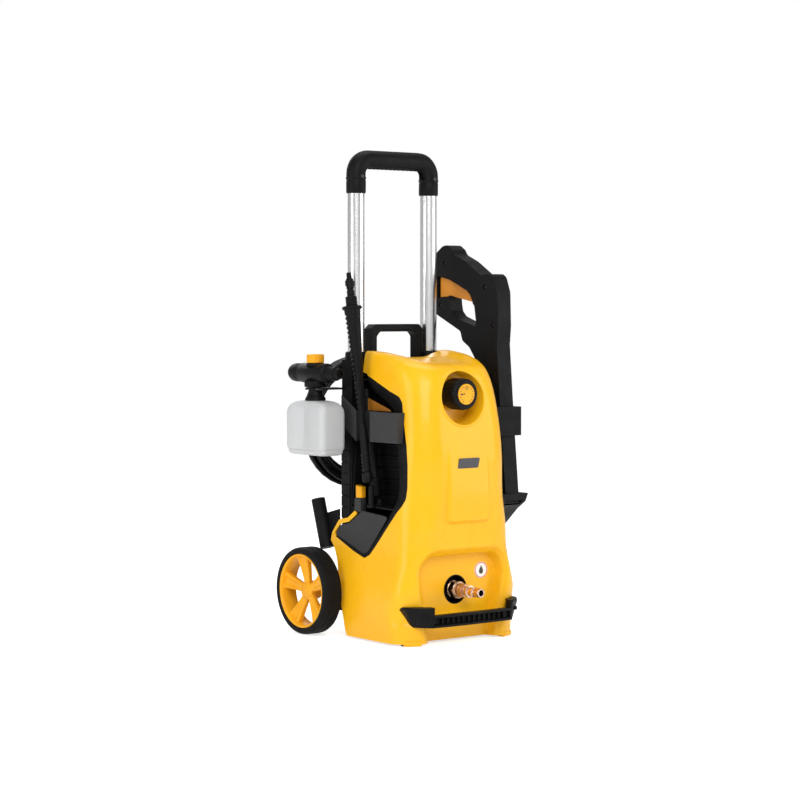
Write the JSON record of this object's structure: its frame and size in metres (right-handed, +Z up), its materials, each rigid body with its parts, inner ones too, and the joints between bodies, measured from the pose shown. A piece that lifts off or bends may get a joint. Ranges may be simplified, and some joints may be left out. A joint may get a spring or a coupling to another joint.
{
  "type": "pressure washer",
  "caption": "Upright electric pressure washer on two wheels with a telescopic handle, stored gun, lances, foam lance and coiled hose.",
  "frame": {"origin": "on the floor, under the middle of the bounding box of the machine", "axes": "+Z up, -Y the front with the knob and water inlet, +X the side with the gun"},
  "size_m": [0.352, 0.36, 0.832],
  "materials": {
    "cover_yellow": "gloss moulded ABS",
    "black_plastic": "satin moulded plastic",
    "housing_black": "fine-grained moulded plastic",
    "dark_grey_plastic": "fine-grained moulded plastic",
    "tube_aluminium": "satin anodised",
    "steel": "plated",
    "tyre_rubber": "matte",
    "rim_yellow": "satin moulded plastic",
    "trigger_yellow": "satin moulded plastic",
    "badge_grey": "semi gloss",
    "brass": "machined",
    "nipple_brass": "machined",
    "pump_aluminium": "cast",
    "copper_winding": "varnished winding and laminations",
    "inner_plastic": "plain",
    "bottle_translucent": "frosted blow-moulded polyethylene",
    "hose_rubber": "matte PVC"
  },
  "bodies": {
    "root": {"front_cover": "cover_yellow", "side_trims": "black_plastic", "side_liners": "black_plastic", "bumper": "black_plastic", "carry_handle": "black_plastic", "tube_sleeves": "black_plastic", "gun_holder": "black_plastic", "cable_gland": "black_plastic", "rear_housing": "housing_black", "chassis_base": "housing_black", "pocket_plate": "dark_grey_plastic", "accessory_brackets": "dark_grey_plastic", "wheel_axle": "steel", "axle_clips": "steel", "motor_bearings": "steel", "pistons": "steel", "piston_springs": "steel", "front_feet": "tyre_rubber", "nameplate": "badge_grey", "water_inlet": "brass", "hose_outlet": "brass", "hose_end_fitting": "brass", "inlet_nipple": "nipple_brass", "valve_head": "pump_aluminium", "pump_body": "pump_aluminium", "motor_housing": "pump_aluminium", "motor_stator": "copper_winding", "power_switch": "inner_plastic", "run_capacitor": "inner_plastic", "inlet_pipe": "inner_plastic", "pressure_pipe": "inner_plastic", "hose_coil": "hose_rubber", "hose_lead": "hose_rubber"},
    "handle": {"handle_tubes": "tube_aluminium", "handle_grip": "black_plastic", "grip_screws": "steel"},
    "buttons": {"lock_buttons": "black_plastic"},
    "wheel_left": {"tyre_left": "tyre_rubber", "rim_left": "rim_yellow"},
    "wheel_right": {"tyre_right": "tyre_rubber", "rim_right": "rim_yellow"},
    "knob": {"power_knob": "black_plastic", "knob_disc": "rim_yellow"},
    "rotor": {"motor_rotor": "steel", "wobble_plate": "pump_aluminium", "motor_fan": "inner_plastic"},
    "gun": {"gun_shell_left": "black_plastic", "gun_shell_right": "black_plastic", "gun_barrel": "brass", "trigger_pin": "steel"},
    "trigger": {"gun_trigger": "trigger_yellow"},
    "trigger_catch": {"trigger_lock": "trigger_yellow"},
    "lance": {"lance_body": "black_plastic"},
    "vario_tip": {"lance_nozzle": "black_plastic"},
    "turbo": {"turbo_lance": "black_plastic"},
    "foam_kit": {"foam_bottle": "bottle_translucent", "foam_head": "black_plastic"},
    "foam_dial": {"foam_knob": "rim_yellow"},
    "foam_tip": {"foam_nozzle": "black_plastic"},
    "spare": {"spare_nozzle": "rim_yellow"}
  },
  "joints": [
    {"name": "handle_slide", "type": "slide", "parent": "root", "child": "handle", "axis": [0, 0, 1], "range_m": [-0.25, 0]},
    {"name": "lock_buttons_press", "type": "slide", "parent": "root", "child": "buttons", "axis": [0, 1, 0], "range_m": [0, 0.004], "stiffness_N_per_m": 400},
    {"name": "wheel_left_spin", "type": "hinge", "parent": "root", "child": "wheel_left", "pos_m": [-0.15, 0.105, 0.075], "axis": [1, 0, 0], "continuous": true},
    {"name": "wheel_right_spin", "type": "hinge", "parent": "root", "child": "wheel_right", "pos_m": [0.15, 0.105, 0.075], "axis": [1, 0, 0], "continuous": true},
    {"name": "power_knob_turn", "type": "hinge", "parent": "root", "child": "knob", "pos_m": [0, -0.112, 0.417], "axis": [0, 1, 0], "range_deg": [0, 90]},
    {"name": "motor_spin", "type": "hinge", "parent": "root", "child": "rotor", "pos_m": [0.01, -0.017, 0.2], "axis": [0, 0, 1], "continuous": true},
    {"name": "gun_lift", "type": "slide", "parent": "root", "child": "gun", "axis": [0, 0.1191, 0.9929], "range_m": [0, 0.1]},
    {"name": "trigger_pull", "type": "hinge", "parent": "gun", "child": "trigger", "pos_m": [0.15, 0.015, 0.597], "axis": [1, 0, 0], "range_deg": [0, 7], "stiffness_Nm_per_rad": 1.5},
    {"name": "trigger_lock_flip", "type": "hinge", "parent": "trigger", "child": "trigger_catch", "pos_m": [0.15, 0.09, 0.595], "axis": [1, 0, 0], "range_deg": [0, 40]},
    {"name": "lance_lift", "type": "slide", "parent": "root", "child": "lance", "axis": [0, 0.1504, 0.9886], "range_m": [0, 0.1]},
    {"name": "vario_nozzle_turn", "type": "hinge", "parent": "lance", "child": "vario_tip", "pos_m": [-0.112, -0.015, 0.266], "axis": [0, 0.1504, 0.9886], "range_deg": [0, 90]},
    {"name": "turbo_lance_lift", "type": "slide", "parent": "root", "child": "turbo", "axis": [0, 0.1504, 0.9886], "range_m": [0, 0.015]},
    {"name": "foam_kit_pull", "type": "slide", "parent": "root", "child": "foam_kit", "axis": [-1, 0, 0], "range_m": [0, 0.05]},
    {"name": "foam_dial_turn", "type": "hinge", "parent": "foam_kit", "child": "foam_dial", "pos_m": [-0.15, 0.084, 0.47], "axis": [0, 0, 1], "range_deg": [0, 180]},
    {"name": "foam_nozzle_turn", "type": "hinge", "parent": "foam_kit", "child": "foam_tip", "pos_m": [-0.15, 0.138, 0.45], "axis": [0, 1, 0], "range_deg": [0, 90]},
    {"name": "spare_nozzle_lift", "type": "slide", "parent": "root", "child": "spare", "axis": [0, 0, 1], "range_m": [0, 0.03]}
  ]
}
